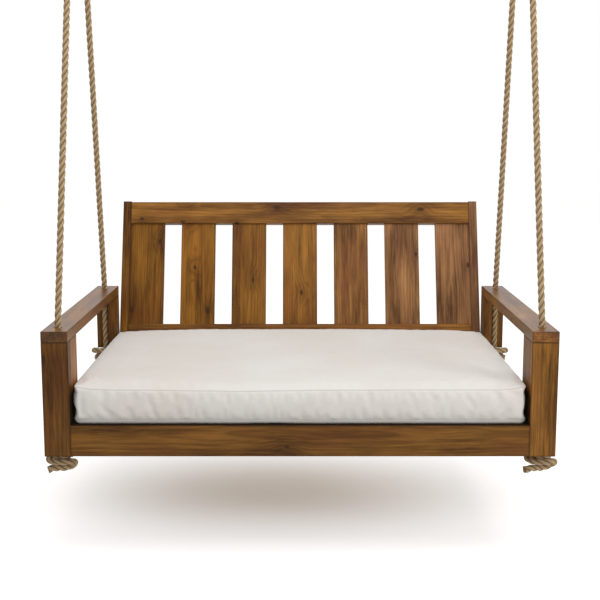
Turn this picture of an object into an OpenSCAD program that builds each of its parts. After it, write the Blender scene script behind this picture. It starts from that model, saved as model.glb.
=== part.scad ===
// Hanging swing bed: a slatted wooden daybed on four ropes, with a lift-out mattress cushion.
// Lengths are millimetres. The front of the bed faces -Y and +Z is up.
// The origin lies on the ceiling, midway between the two ceiling plates.

/* [Bed frame] */
// Width over both armrests
overall_w = 1730; // [1600:10:1900]
// Length of an armrest from front to back
arm_len = 1075; // [1065:1:1100]
// Width of an armrest and of the leg boards below it
arm_w = 90; // [86:1:100]
// Thickness of the armrests and of the leg boards
board_t = 38; // [35:1:40]
// Thickness of the inner leg boards and of the side rails
inner_t = 32; // [28:1:33]
// Height of the armrests above the bottom of the front legs
side_h = 430; // [410:1:460]
// Depth of a front leg from front to back
front_leg_d = 153; // [145:1:170]
// Depth of a rear leg from front to back
rear_leg_d = 98; // [96:1:110]
// Height of the rails round the seat
rail_h = 107; // [100:1:110]
// Thickness of the front and rear rails
rail_t = 38; // [34:1:40]
// Distance from the back of the bed to the front of the rear rail
rear_rail_setback = 163; // [163:1:195]
// Rounding of the long edges of the boards
edge_r = 3; // [2:0.5:5]

/* [Seat slats] */
// Number of seat slats
seat_slat_count = 12; // [8:1:14]
// Width of a seat slat
seat_slat_w = 96; // [80:1:100]
// Thickness of a seat slat
seat_slat_t = 19; // [16:1:22]
// Width of the ledgers that carry the slats
ledger_w = 25; // [22:1:30]
// Height of the ledgers
ledger_h = 40; // [36:1:50]
// Width of the middle beam
beam_w = 38; // [30:1:45]

/* [Backrest] */
// Lean of the backrest away from upright
back_lean = 19.67; // [18:0.01:20]
// Distance from the back of the bed to the foot of the backrest's front face
back_foot_setback = 123.4; // [115:0.1:123.4]
// Gap between the backrest and the arms on each side
back_gap = 6; // [4:0.5:8]
// Length of a backrest stile along its front face
stile_len = 827.5; // [780:0.5:860]
// Width of a stile seen from the front
stile_w = 35; // [32:1:45]
// Depth of a stile
stile_d = 60; // [56:1:66]
// How far a stile stands above the top rail
stile_proud = 2.5; // [1:0.5:10]
// Height of the two backrest rails
back_rail_h = 96; // [80:1:110]
// Thickness of the two backrest rails
back_rail_t = 35; // [30:1:40]
// Distance from the foot of the backrest to the top of its bottom rail
low_rail_top = 286.5; // [270:0.5:300]
// Number of upright backrest slats
back_slat_count = 7; // [7:1:7]
// Width of a backrest slat
back_slat_w = 147; // [120:1:160]
// Thickness of a backrest slat
back_slat_t = 16; // [12:1:19]
// Set-back of the slats behind the front of the rails
slat_setback = 9; // [5:1:12]

/* [Ropes] */
// Diameter of the rope
rope_d = 24; // [22:0.5:25]
// Diameter of the rope holes in the armrests
rope_hole_d = 29; // [28:0.5:32]
// Distance from an armrest's outer edge to its ropes
rope_inset = 43; // [41:0.5:44]
// Distance from the front of the bed to the front ropes
front_rope_y = 80; // [76:1:90]
// Distance from the back of the bed to the rear ropes
rear_rope_setback = 78; // [76:1:83]
// Distance from the front of the bed to the line that it hangs from
hang_y = 650; // [600:1:680]

/* [Ceiling hardware] */
// Height of the ceiling above the bottom of the front legs
ceiling_h = 2500; // [2300:10:2800]
// Distance from the ceiling down to the swing axis
hook_drop = 119; // [105:1:160]
// Diameter of the hook wire
hook_d = 14; // [12:0.5:16]
// Inside diameter of the hook
hook_open_d = 42; // [38:1:50]
// Diameter of the ring bar
ring_bar_d = 12; // [10:0.5:13]
// Outside diameter of the ring
ring_outer_d = 102; // [100:1:110]
// Length of a ceiling plate from front to back
plate_len = 130; // [120:1:150]
// Width of a ceiling plate
plate_w = 60; // [50:1:80]
// Thickness of a ceiling plate
plate_t = 8; // [6:0.5:12]
// Diameter of the screw holes in the ceiling plates
plate_hole_d = 9; // [7:0.5:11]
// Distance between the two screw holes of a plate
plate_hole_gap = 90; // [80:1:100]

/* [Cushion] */
// Space between the cushion's side seams and the inner faces of the legs
cushion_side_gap = 13; // [10:1:50]
// Distance from the front of the bed to the front of the cushion
cushion_front_y = 20; // [10:1:60]
// Distance from the back of the bed to the back of the cushion
cushion_back_setback = 87; // [87:1:175]
// Height of the cushion's border
cushion_border_h = 120; // [90:1:150]
// Rise of the crown above the top seam
cushion_crown = 14; // [6:1:30]
// Outward swell of the border
cushion_swell = 1; // [0:0.5:3]
// Upward lift of the top seam at the corners
cushion_ear = 13; // [0:1:20]
// Thickness of the soft cover round the foam core
cushion_wrap = 12; // [8:1:20]

/* [Fasteners] */
// Diameter of the dowels
dowel_d = 10; // [8:1:12]
// Length of a dowel
dowel_len = 44; // [36:1:48]
// Diameter of the back bolts and lag screws
bolt_d = 8; // [6:1:9]
// Diameter of the small screws' shanks
screw_d = 4; // [3:0.5:5]
// Length of the small screws
screw_len = 38; // [34:1:44]

/* [Hidden] */
$fn = 48;

oak = [0.47, 0.30, 0.18];
oak_dark = [0.36, 0.22, 0.13];
dowel_wood = [0.76, 0.62, 0.43];
steel = [0.62, 0.63, 0.65];
rope_tan = [0.72, 0.58, 0.40];
linen = [0.87, 0.85, 0.80];
foam_cream = [0.93, 0.88, 0.70];

groove_gap = 0.3;
soft_gap = 0.3;
run_gap = 0.4;
far = 3000;

// Places of the leg and rail faces, measured from the middle of the bed outwards.
outer_x = overall_w / 2;
inner_x = outer_x - arm_w;
side_rail_x = inner_x + inner_t;
leg_h = side_h - board_t;
rear_board_y = arm_len - board_t;
side_rail_end_y = arm_len - 21;
rear_rail_y = arm_len - rear_rail_setback;
back_foot_y = arm_len - back_foot_setback;
rear_rope_y = arm_len - rear_rope_setback;
rope_x = outer_x - rope_inset;
cushion_w = 2 * (inner_x - cushion_side_gap);
cushion_back_y = arm_len - cushion_back_setback;
stile_outer_x = inner_x - back_gap;
stile_inner_x = stile_outer_x - stile_w;

// Knots: an overhand coil that grows from the rope's axis, sized from the rope.
knot_r = 1.5 * rope_d;
knot_w = 0.54 * rope_d;
knot_half_h = 0.69 * rope_d;
knot_lift = 1.08 * rope_d;
knot_turns = 1.6;
knot_blend = 0.235;
knot_tail = 1.1 * rope_d;
knot_steps = 30;
// The coil's highest point lies this much below its half height and the rope's radius.
knot_slope_loss = 0.3;
knot_top = knot_half_h + rope_d / 2 - knot_slope_loss;
knot_neck = 5;
knot_roll = 120;
// Turn of each knot about its rope: both front knots, the rear left one and the rear right one.
front_knot_spin = 330;
left_knot_spin = 90;
right_knot_spin = 250;
knot_rise = knot_half_h * sin(knot_roll) + knot_lift + knot_neck - knot_top;
knot_rail_gap = 1.5;
knot_drop = 2.5 * rope_d + knot_rail_gap;
rear_leg_bottom = rail_h + knot_drop;

// Rings, hooks and the eyes that hang on them.
axis_z = ceiling_h - hook_drop;
hook_r = (hook_open_d + hook_d) / 2;
ring_r = (ring_outer_d - ring_bar_d) / 2;
ring_z = axis_z + hook_d / 2 + run_gap + ring_bar_d / 2 - ring_r;
front_eye_dy = -20.5;
rear_eye_dy = 17.5;
eye_r = rope_d / 2 + 16;
eye_len = 90;
// The middle of an eye lies this much above the ring's wire, so that the thimble clears it.
eye_lift = 0.1;
splice_d = rope_d + 7;
splice_from = 70;
splice_len = 130;
thimble_in = 12;
thimble_w = rope_d;

rope_sides = 12;
bend_r = 80;
bend_z = side_h + 12;

function eye_y(front) = hang_y + (front ? front_eye_dy : rear_eye_dy);
function eye_z(front) = ring_z - sqrt(pow(ring_r, 2) - pow(eye_y(front) - hang_y, 2));
function rope_y(front) = front ? front_rope_y : rear_rope_y;
function rope_foot(front) = front ? 0 : rear_leg_bottom;
function rope_lean(front) = atan2(eye_y(front) - rope_y(front), eye_z(front) - bend_z);

// ---- Shared helpers ----

// Puts a piece that is drawn from the front middle of the leg bottoms into the part's frame.
module placed() translate([0, -hang_y, -ceiling_h]) children();

// Draws its children for one side: the right side as drawn, the left side mirrored.
module side(left) mirror([left ? 1 : 0, 0, 0]) children();

module rounded_rect(w, h, r) {
    translate([r, 0]) square([w - 2 * r, h]);
    translate([0, r]) square([w, h - 2 * r]);
    for (x = [r, w - r], y = [r, h - r]) translate([x, y]) circle(r = r);
}

// A board with its long edges rounded, as a box from its low corner with the given size.
module board_up(s, r = edge_r) linear_extrude(s.z) rounded_rect(s.x, s.y, r);
module board_deep(s, r = edge_r)
    translate([0, s.y, 0]) rotate([90, 0, 0]) linear_extrude(s.y) rounded_rect(s.x, s.z, r);
module board_wide(s, r = edge_r)
    rotate([90, 0, 90]) linear_extrude(s.x) rounded_rect(s.y, s.z, r);

module rod_x(x0, x1, y, z, d) translate([x0, y, z]) rotate([0, 90, 0]) cylinder(d = d, h = x1 - x0);
module rod_y(x, y0, y1, z, d) translate([x, y1, z]) rotate([90, 0, 0]) cylinder(d = d, h = y1 - y0);
module rod_z(x, y, z0, z1, d) translate([x, y, z0]) cylinder(d = d, h = z1 - z0);

// ---- Tubes swept along a list of points ----

function unit(v) = v / norm(v);
function tangent(p, i) = unit(p[min(i + 1, len(p) - 1)] - p[max(i - 1, 0)]);
// Carries a normal along the path without twist.
function carried(p, n0) = [for (i = 0, n = n0; i < len(p);
    i = i + 1, n = i < len(p) ? unit(n - (n * tangent(p, i)) * tangent(p, i)) : n) n];

module tube(p, d, sides, n0) {
    normals = carried(p, n0);
    points = [for (i = [0:len(p) - 1]) for (k = [0:sides - 1])
        let (t = tangent(p, i), a = 360 * k / sides, n = normals[i])
        p[i] + d / 2 * (cos(a) * n + sin(a) * cross(t, n))];
    last = (len(p) - 1) * sides;
    caps = [for (k = [1:sides - 2]) each [[0, k, k + 1], [last, last + k + 1, last + k]]];
    walls = [for (i = [0:len(p) - 2]) for (k = [0:sides - 1])
        let (a = i * sides + k, b = i * sides + (k + 1) % sides)
        each [[a + sides, b, a], [a + sides, b + sides, b]]];
    polyhedron(points, concat(caps, walls));
}

// ---- Ropes ----

// Foot in the knot, straight up through the armrest, a bend, then straight to the splice.
function rope_points(front) =
    let (x = rope_x, y = rope_y(front), lean = rope_lean(front), turn = abs(lean),
        cut = bend_r * tan(turn / 2), sgn = lean > 0 ? 1 : -1,
        dir = [0, sin(lean), cos(lean)], corner = [x, y, bend_z],
        eye = [x, eye_y(front), eye_z(front)],
        foot = [x, y, rope_foot(front) + knot_rise],
        start = corner - [0, 0, cut], run_end = eye - (splice_from + splice_len / 2) * dir,
        run_start = corner + cut * dir,
        runs = 9)
    concat([foot, (foot + start) / 2, start],
        [for (i = [1:3]) let (a = turn * i / 4)
            start + bend_r * [0, sgn * (1 - cos(a)), sin(a)]],
        [for (i = [0:runs]) run_start + (run_end - run_start) * i / runs]);

// The outline of an eye: an arc over the top and two legs that run together below.
eye_half = acos(eye_r / eye_len);
leg_reach = eye_r * tan(eye_half);
module eye_arc() rotate([90, 0, 0]) rotate([0, 0, eye_half - 91])
    rotate_extrude(angle = 362 - 2 * eye_half) children();
// Legs of length reach below the arc, with the profile's x axis pointing away from the middle.
module eye_legs(reach) for (s = [0, 1]) mirror([s, 0, 0])
    rotate([0, 90 - eye_half, 0]) translate([0, 0, -reach]) linear_extrude(reach + 2) children();

module at_eye(front) translate([rope_x, eye_y(front), eye_z(front)])
    rotate([-rope_lean(front), 0, 0]) translate([0, 0, eye_lift]) children();

module rope(front) color(rope_tan) placed() {
    tube(rope_points(front), rope_d, rope_sides, [1, 0, 0]);
    at_eye(front) {
        eye_arc() translate([eye_r, 0]) circle(d = rope_d);
        eye_legs(leg_reach) translate([eye_r, 0]) circle(d = rope_d);
        translate([0, 0, -splice_from - splice_len]) cylinder(d = splice_d, h = splice_len);
    }
}

module thimble_profile() difference() {
    translate([thimble_in, -thimble_w / 2]) square([eye_r - thimble_in - 5, thimble_w]);
    translate([eye_r, 0]) circle(d = rope_d + 2 * groove_gap);
}
module thimble(front) color(steel) placed() at_eye(front) {
    eye_arc() thimble_profile();
    eye_legs(24) thimble_profile();
}

// The knot's centre line: it leaves the rope's axis at the top, coils round and ends in a tail.
function ease(t) = let (c = min(max(t, 0), 1)) c * c * (3 - 2 * c);
function coil_point(u) =
    let (turn = 360 * knot_turns * u, roll = knot_roll + 1.5 * turn,
        r = ease(u / knot_blend) * (knot_r + knot_w * cos(roll)),
        sink = max(1 - u / knot_blend, 0))
    [r * cos(turn), r * sin(turn), knot_half_h * sin(roll) + sink * sink * knot_lift];
function knot_points() =
    let (coil = [for (i = [0:knot_steps]) coil_point(i / knot_steps)],
        end_dir = unit(coil[knot_steps] - coil_point(1 - 0.01)))
    concat([coil[0] + [0, 0, knot_neck]], coil, [coil[knot_steps] + knot_tail * end_dir]);
knot_path = knot_points();
// Least gap between parts of the coil that are more than two diameters apart along the rope.
knot_span = norm(knot_path[20] - knot_path[19]);
knot_skip = ceil(2 * rope_d / knot_span);
knot_gap = min([for (i = [0:len(knot_path) - 1]) for (j = [i + knot_skip:1:len(knot_path) - 1])
    norm(knot_path[i] - knot_path[j])]) - rope_d;
echo(knot_least_gap_mm = knot_gap);

module knot(front, spin) color(rope_tan) placed()
    translate([rope_x, rope_y(front), rope_foot(front) - knot_top])
    rotate([0, 0, spin]) tube(knot_path, rope_d, rope_sides, [1, 0, 0]);

// ---- Ceiling hardware ----

module ceiling_plate() color(steel) placed() difference() {
    translate([rope_x - plate_w / 2, hang_y - plate_len / 2, ceiling_h - plate_t])
        board_up([plate_w, plate_len, plate_t], 8);
    for (s = [-1, 1])
        rod_z(rope_x, hang_y + s * plate_hole_gap / 2, ceiling_h - far / 2, ceiling_h + 1, plate_hole_d);
    rod_z(rope_x, hang_y, ceiling_h - far / 2, ceiling_h + 1, hook_d);
}

module hook() color(steel) placed() translate([rope_x, hang_y, axis_z + hook_r]) {
    rotate([90, 0, 0]) rotate([0, 0, -210]) rotate_extrude(angle = 300)
        translate([hook_r, 0]) circle(d = hook_d);
    translate([0, 0, hook_r - 1]) cylinder(d = hook_d, h = hook_drop - 2 * hook_r + 1);
}

module hook_nut() difference() {
    translate([rope_x, hang_y, ceiling_h - plate_t - 0.8 * hook_d])
        cylinder(d = 1.75 * hook_d, h = 0.8 * hook_d, $fn = 6);
    rod_z(rope_x, hang_y, ceiling_h - far / 2, ceiling_h, hook_d);
}
module hook_nuts() color(steel) placed() for (left = [true, false]) side(left) hook_nut();

module ring() color(steel) placed() translate([rope_x, hang_y, ring_z]) rotate([0, 90, 0])
    rotate_extrude() translate([ring_r, 0]) circle(d = ring_bar_d);

// ---- Arms and legs ----

dowel_top = leg_h + dowel_len / 2;
outer_dowel_x = (side_rail_x + outer_x) / 2;
inner_dowel_x = inner_x + inner_t / 2;
arm_dowel_places = [[outer_dowel_x, board_t / 2], [inner_dowel_x, board_t + front_leg_d / 2],
    [outer_dowel_x, arm_len - board_t / 2], [inner_dowel_x, arm_len - 0.78 * rear_leg_d]];
// Depth that a dowel reaches into an armrest, short of its top face.
arm_bite = min(dowel_len / 2, board_t - 10);
module arm_dowel_set() for (p = arm_dowel_places)
    rod_z(p.x, p.y, leg_h + arm_bite - dowel_len, leg_h + arm_bite, dowel_d);
module arm_dowels() color(dowel_wood) placed() for (left = [true, false]) side(left) arm_dowel_set();

front_dowel_z = [rail_h + 1.14 * dowel_len, leg_h - 1.36 * dowel_len];
front_rail_dowel_z = [0.28 * rail_h, 0.75 * rail_h];
rear_dowel_z = [rear_leg_bottom + 1.03 * rail_h, leg_h - 0.9 * dowel_len];
// Reach of a dowel into a face board, short of the face that shows.
face_bite = board_t - 12;
module leg_dowel_set() {
    for (z = concat(front_dowel_z, front_rail_dowel_z))
        rod_y(inner_dowel_x, board_t - face_bite, board_t - face_bite + dowel_len, z, dowel_d);
    for (z = rear_dowel_z)
        rod_y(inner_dowel_x, rear_board_y - dowel_len + face_bite, rear_board_y + face_bite, z, dowel_d);
}
module leg_dowels() color(dowel_wood) placed() for (left = [true, false]) side(left) leg_dowel_set();

module armrest() color(oak) placed() difference() {
    translate([inner_x, 0, leg_h]) intersection() {
        board_up([arm_w, arm_len, board_t]);
        board_deep([arm_w, arm_len, board_t]);
        board_wide([arm_w, arm_len, board_t]);
    }
    for (y = [front_rope_y, rear_rope_y]) rod_z(rope_x, y, 0, far, rope_hole_d);
    arm_dowel_set();
}

module front_leg_board() color(oak) placed() difference() {
    translate([inner_x, 0, 0]) board_up([arm_w, board_t, leg_h]);
    arm_dowel_set();
    leg_dowel_set();
    rail_dowel_set();
}

module front_inner_board() color(oak) placed() difference() {
    translate([inner_x, board_t, rail_h])
        board_up([inner_t, front_leg_d - board_t, leg_h - rail_h]);
    arm_dowel_set();
    leg_dowel_set();
}

module rear_leg_board() color(oak) placed() difference() {
    translate([inner_x, rear_board_y, rear_leg_bottom])
        board_up([arm_w, board_t, leg_h - rear_leg_bottom]);
    arm_dowel_set();
    leg_dowel_set();
    lag_set(0);
    plug_set();
}

module rear_inner_board() color(oak) placed() difference() {
    translate([inner_x, arm_len - rear_leg_d, rear_leg_bottom])
        board_up([inner_t, rear_leg_d - board_t, leg_h - rear_leg_bottom]);
    arm_dowel_set();
    leg_dowel_set();
}

// ---- Rails and seat ----

rear_rail_mid_y = rear_rail_y + rail_t / 2;
front_rail_y = board_t - rail_t + 1;
front_rail_mid_y = front_rail_y + rail_t / 2;
beam_y = (board_t + rear_rail_y) / 2;
slat_bottom = rail_h - seat_slat_t;
beam_dowel_z = [0.25 * slat_bottom, 0.75 * slat_bottom];
rail_bite = inner_t - 8;
module rail_dowel_set() {
    for (z = front_rail_dowel_z)
        rod_x(inner_x + rail_bite - dowel_len, inner_x + rail_bite, front_rail_mid_y - 2, z + 12, dowel_d);
    for (z = front_rail_dowel_z)
        rod_x(inner_x + rail_bite - dowel_len, inner_x + rail_bite, rear_rail_mid_y, z, dowel_d);
    for (z = beam_dowel_z)
        rod_x(inner_x + rail_bite - dowel_len, inner_x + rail_bite, beam_y, z, dowel_d);
}
module rail_dowels() color(dowel_wood) placed() for (left = [true, false]) side(left) rail_dowel_set();

module side_rail() color(oak_dark) placed() difference() {
    translate([inner_x, board_t, 0]) board_deep([inner_t, side_rail_end_y - board_t, rail_h]);
    leg_dowel_set();
    rail_dowel_set();
    bolt_set();
}

module cross_rail(y) difference() {
    translate([-inner_x, y, 0]) board_wide([2 * inner_x, rail_t, rail_h]);
    for (left = [true, false]) side(left) rail_dowel_set();
}
module front_rail() color(oak) placed() cross_rail(front_rail_y);
module rear_rail() color(oak_dark) placed() cross_rail(rear_rail_y);

module middle_beam() color(oak_dark) placed() difference() {
    translate([-inner_x, beam_y - beam_w / 2, 0]) board_wide([2 * inner_x, beam_w, slat_bottom]);
    for (left = [true, false]) side(left) rail_dowel_set();
    slat_screw_set(0);
}

slat_start_y = front_rail_y + rail_t;
module ledger(y) difference() {
    translate([-inner_x, y, slat_bottom - ledger_h]) board_wide([2 * inner_x, ledger_w, ledger_h], 2);
    slat_screw_set(0);
}
module front_ledger() color(oak_dark) placed() ledger(slat_start_y);
module rear_ledger() color(oak_dark) placed() ledger(rear_rail_y - ledger_w);

seat_pitch = 2 * inner_x / seat_slat_count;
screw_head_d = 2.2 * screw_d;
screw_head_h = 0.8 * screw_d;
module slat_screw_set(grow) for (i = [0:seat_slat_count - 1])
    for (y = [slat_start_y + ledger_w / 2, beam_y, rear_rail_y - ledger_w / 2]) {
        x = (i + 0.5) * seat_pitch - inner_x;
        rod_z(x, y, rail_h - screw_len, rail_h + grow, screw_d);
        rod_z(x, y, rail_h - screw_head_h, rail_h + grow, screw_head_d);
    }
module slat_screws() color(steel) placed() slat_screw_set(0);

module seat_slats() color(oak_dark) placed() difference() {
    for (i = [0:seat_slat_count - 1])
        translate([(i + 0.5) * seat_pitch - inner_x - seat_slat_w / 2, slat_start_y, slat_bottom])
            board_deep([seat_slat_w, rear_rail_y - slat_start_y, seat_slat_t], 2);
    slat_screw_set(1);
}

// ---- Backrest ----

// Draws its children in the backrest's own upright frame, then leans them back.
module leaned() translate([0, back_foot_y, 0]) rotate([-back_lean, 0, 0]) children();

top_rail_z = stile_len - stile_proud - back_rail_h;
low_rail_z = low_rail_top - back_rail_h;
tongue = 10;

module back_dowel_set() for (left = [true, false]) side(left) leaned()
    for (z = [top_rail_z, low_rail_z]) for (s = [0.25, 0.75])
        rod_x(stile_inner_x + stile_w / 2 + 4 - dowel_len, stile_inner_x + stile_w / 2 + 4,
            back_rail_t / 2, z + s * back_rail_h, dowel_d);
module back_dowels() color(dowel_wood) placed() back_dowel_set();

module stile() color(oak_dark) placed() difference() {
    leaned() translate([stile_inner_x, 0, -stile_d]) board_up([stile_w, stile_d, stile_len + stile_d]);
    translate([0, back_foot_y - stile_d, -rail_h]) cube([outer_x, 4 * stile_d, rail_h]);
    back_dowel_set();
    bolt_set();
    lag_set(0);
}

back_inner_w = 2 * stile_inner_x;
back_pitch = (back_inner_w - back_slat_w) / (back_slat_count - 1);
module slat_blank(i) leaned()
    translate([-stile_inner_x + (i - 1) * back_pitch, slat_setback, low_rail_top - tongue])
        cube([back_slat_w, back_slat_t, top_rail_z - low_rail_top + 2 * tongue]);
module back_slat(i) color(oak) placed() slat_blank(i);

module back_rail(z) color(oak) placed() difference() {
    leaned() translate([-stile_inner_x, 0, z]) board_wide([back_inner_w, back_rail_t, back_rail_h]);
    for (i = [1:back_slat_count]) slat_blank(i);
    back_dowel_set();
}
module back_top_rail() back_rail(top_rail_z);
module back_bottom_rail() back_rail(low_rail_z);

// Bolts through each stile and side rail, in the middle of the stile's depth.
function stile_mid_y(z) = back_foot_y + z * tan(back_lean) + stile_d / 2 / cos(back_lean);
bolt_z = [0.26 * rail_h, 0.74 * rail_h];
bolt_head_d = 2.2 * bolt_d;
bolt_head_h = 0.5 * bolt_d;
module bolt_set() for (z = bolt_z)
    rod_x(stile_inner_x, side_rail_x + 1.4 * bolt_d, stile_mid_y(z) - 6, z, bolt_d);
module bolt_heads() for (z = bolt_z)
    rod_x(stile_inner_x - bolt_head_h, stile_inner_x, stile_mid_y(z) - 6, z, bolt_head_d);
module back_bolts() color(steel) placed() for (left = [true, false]) side(left) {
    bolt_set();
    bolt_heads();
}
module nut_set() difference() {
    for (z = bolt_z) translate([side_rail_x, stile_mid_y(z) - 6, z])
        rotate([0, 90, 0]) cylinder(d = 1.9 * bolt_d, h = 0.9 * bolt_d, $fn = 6);
    bolt_set();
}
module back_nuts() color(steel) placed() for (left = [true, false]) side(left) nut_set();

// Long lag screws from the outer edge of each rear leg board into the stile, under wood plugs.
lag_z = [rear_leg_bottom + 2.5 * bolt_d, rear_leg_bottom + 6.5 * bolt_d];
lag_y = rear_board_y + board_t / 2;
plug_depth = arm_w / 3;
plug_d = 2.4 * bolt_d;
lag_head_h = 0.7 * bolt_d;
lag_tip_x = stile_outer_x - 0.7 * stile_w;
module lag_set(grow) for (z = lag_z)
    rod_x(lag_tip_x, outer_x - plug_depth, lag_y, z, bolt_d + grow);
module lag_heads() for (z = lag_z)
    rod_x(outer_x - plug_depth - lag_head_h, outer_x - plug_depth, lag_y, z, 1.9 * bolt_d);
module plug_set() {
    for (z = lag_z) rod_x(outer_x - plug_depth, outer_x, lag_y, z, plug_d);
    lag_heads();
}
module back_lag_screws() color(steel) placed() for (left = [true, false]) side(left) {
    lag_set(0);
    lag_heads();
}
module screw_plugs() color(oak) placed() for (left = [true, false]) side(left)
    for (z = lag_z) rod_x(outer_x - plug_depth, outer_x, lag_y, z, plug_d);

// Round spacers that hold the stiles off the arms and side rails.
module spacer_at(y, z) rod_x(stile_outer_x, inner_x, y, z, 3 * bolt_d);
module back_spacers() color(steel) placed() for (left = [true, false]) side(left) difference() {
    union() {
        for (z = bolt_z) spacer_at(stile_mid_y(z) - 6, z);
        for (z = lag_z) spacer_at(lag_y, z);
    }
    bolt_set();
    lag_set(0);
}

// ---- Cushion ----

cushion_z = rail_h + soft_gap;
cushion_mid_y = (cushion_front_y + cushion_back_y) / 2;
cushion_half_x = cushion_w / 2;
cushion_half_y = (cushion_back_y - cushion_front_y) / 2;
foam_z = cushion_z + cushion_wrap - 3;
foam_h = cushion_border_h - 2 * cushion_wrap + 6;
module foam_block() translate([-cushion_half_x + cushion_wrap, cushion_front_y + cushion_wrap, foam_z])
    cube([cushion_w - 2 * cushion_wrap, 2 * (cushion_half_y - cushion_wrap), foam_h]);
module cushion_foam() color(foam_cream) placed() foam_block();

corner_r = 14;
side_steps = 9;
// One closed outline round the cushion, as unit directions scaled to its half sizes.
function outline(inset) =
    let (hx = cushion_half_x - inset - corner_r, hy = cushion_half_y - inset - corner_r)
    [for (q = [0:3]) each concat(
        [for (i = [0:2]) let (a = 90 * q + 45 * i, sx = q == 0 || q == 3 ? 1 : -1, sy = q < 2 ? 1 : -1)
            [sx * hx + corner_r * cos(a), sy * hy + corner_r * sin(a)]],
        [for (k = [1:side_steps - 1]) let (t = k / side_steps, wide = q % 2 == 0,
                sx = q == 0 || q == 3 ? 1 : -1, sy = q < 2 ? 1 : -1)
            wide ? [hx * (1 - 2 * t) * sx, sy * (hy + corner_r)]
                : [sx * (hx + corner_r), hy * (1 - 2 * t) * sy]])];
function corner_weight(p) = pow(abs(p.x) / cushion_half_x, 10) * pow(abs(p.y) / cushion_half_y, 10);
// Rings from the bottom to the top: inset, height and lift at the corners.
wall_rings = [[70, 0, 0], [12, 0, 0], [2, 6, 0], [-cushion_swell, 0.3 * cushion_border_h, 1],
    [-cushion_swell, 0.6 * cushion_border_h, 4], [1, cushion_border_h - 6, 9],
    [4, cushion_border_h, cushion_ear]];
crown_steps = 7;
function ring_points(r) = [for (p = outline(r[0]))
    [p.x, p.y, r[1] + r[2] * corner_weight(p)]];
// A crown ring shrinks the top seam towards the middle while it rises.
function crown_points(t) = [for (p = outline(4)) [p.x * (1 - t), p.y * (1 - t),
    cushion_border_h + cushion_ear * corner_weight(p) * pow(1 - t, 6)
        + cushion_crown * sin(90 * pow(t, 0.55))]];
module crowned_block() {
    crown_t = [for (i = [1:crown_steps]) 0.97 * pow(i / crown_steps, 1.7)];
    rings = concat([for (r = wall_rings) ring_points(r)], [for (t = crown_t) crown_points(t)]);
    n = len(rings[0]);
    m = len(rings);
    points = concat([for (r = rings) each r],
        [[0, 0, 0], [0, 0, cushion_border_h + cushion_crown]]);
    walls = [for (j = [0:m - 2]) for (i = [0:n - 1])
        let (a = j * n + i, b = j * n + (i + 1) % n)
        each [[a, a + n, b], [b, a + n, b + n]]];
    floor_faces = [for (i = [0:n - 1]) [m * n, i, (i + 1) % n]];
    top_faces = [for (i = [0:n - 1]) [m * n + 1, (m - 1) * n + (i + 1) % n, (m - 1) * n + i]];
    polyhedron(points, concat(floor_faces, walls, top_faces));
}
module cushion_cover() color(linen) placed() difference() {
    translate([0, cushion_mid_y, cushion_z]) crowned_block();
    foam_block();
}

side(true) ceiling_plate();  // left_ceiling_plate
side(false) ceiling_plate();  // right_ceiling_plate
side(true) hook();  // left_hook
side(false) hook();  // right_hook
hook_nuts();
side(true) ring();  // left_ring
side(false) ring();  // right_ring
side(true) rope(true);  // front_left_rope
side(false) rope(true);  // front_right_rope
side(true) rope(false);  // rear_left_rope
side(false) rope(false);  // rear_right_rope
side(true) thimble(true);  // front_left_thimble
side(false) thimble(true);  // front_right_thimble
side(true) thimble(false);  // rear_left_thimble
side(false) thimble(false);  // rear_right_thimble
translate([-2 * rope_x, 0, 0]) knot(true, front_knot_spin);  // front_left_knot
knot(true, front_knot_spin);  // front_right_knot
translate([-2 * rope_x, 0, 0]) knot(false, left_knot_spin);  // rear_left_knot
knot(false, right_knot_spin);  // rear_right_knot
side(true) armrest();  // left_armrest
side(false) armrest();  // right_armrest
side(true) front_leg_board();  // left_front_leg_board
side(false) front_leg_board();  // right_front_leg_board
side(true) front_inner_board();  // left_front_inner_board
side(false) front_inner_board();  // right_front_inner_board
side(true) rear_leg_board();  // left_rear_leg_board
side(false) rear_leg_board();  // right_rear_leg_board
side(true) rear_inner_board();  // left_rear_inner_board
side(false) rear_inner_board();  // right_rear_inner_board
side(true) side_rail();  // left_side_rail
side(false) side_rail();  // right_side_rail
front_rail();
rear_rail();
middle_beam();
front_ledger();
rear_ledger();
seat_slats();
side(true) stile();  // left_stile
side(false) stile();  // right_stile
back_top_rail();
back_bottom_rail();
back_slat(1);  // back_slat_1
back_slat(2);  // back_slat_2
back_slat(3);  // back_slat_3
back_slat(4);  // back_slat_4
back_slat(5);  // back_slat_5
back_slat(6);  // back_slat_6
back_slat(7);  // back_slat_7
arm_dowels();
leg_dowels();
rail_dowels();
back_dowels();
back_bolts();
back_nuts();
back_lag_screws();
back_spacers();
screw_plugs();
slat_screws();
cushion_foam();
cushion_cover();
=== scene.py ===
import math

import bmesh
import bpy
from mathutils import Euler, Matrix, Vector, noise


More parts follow.
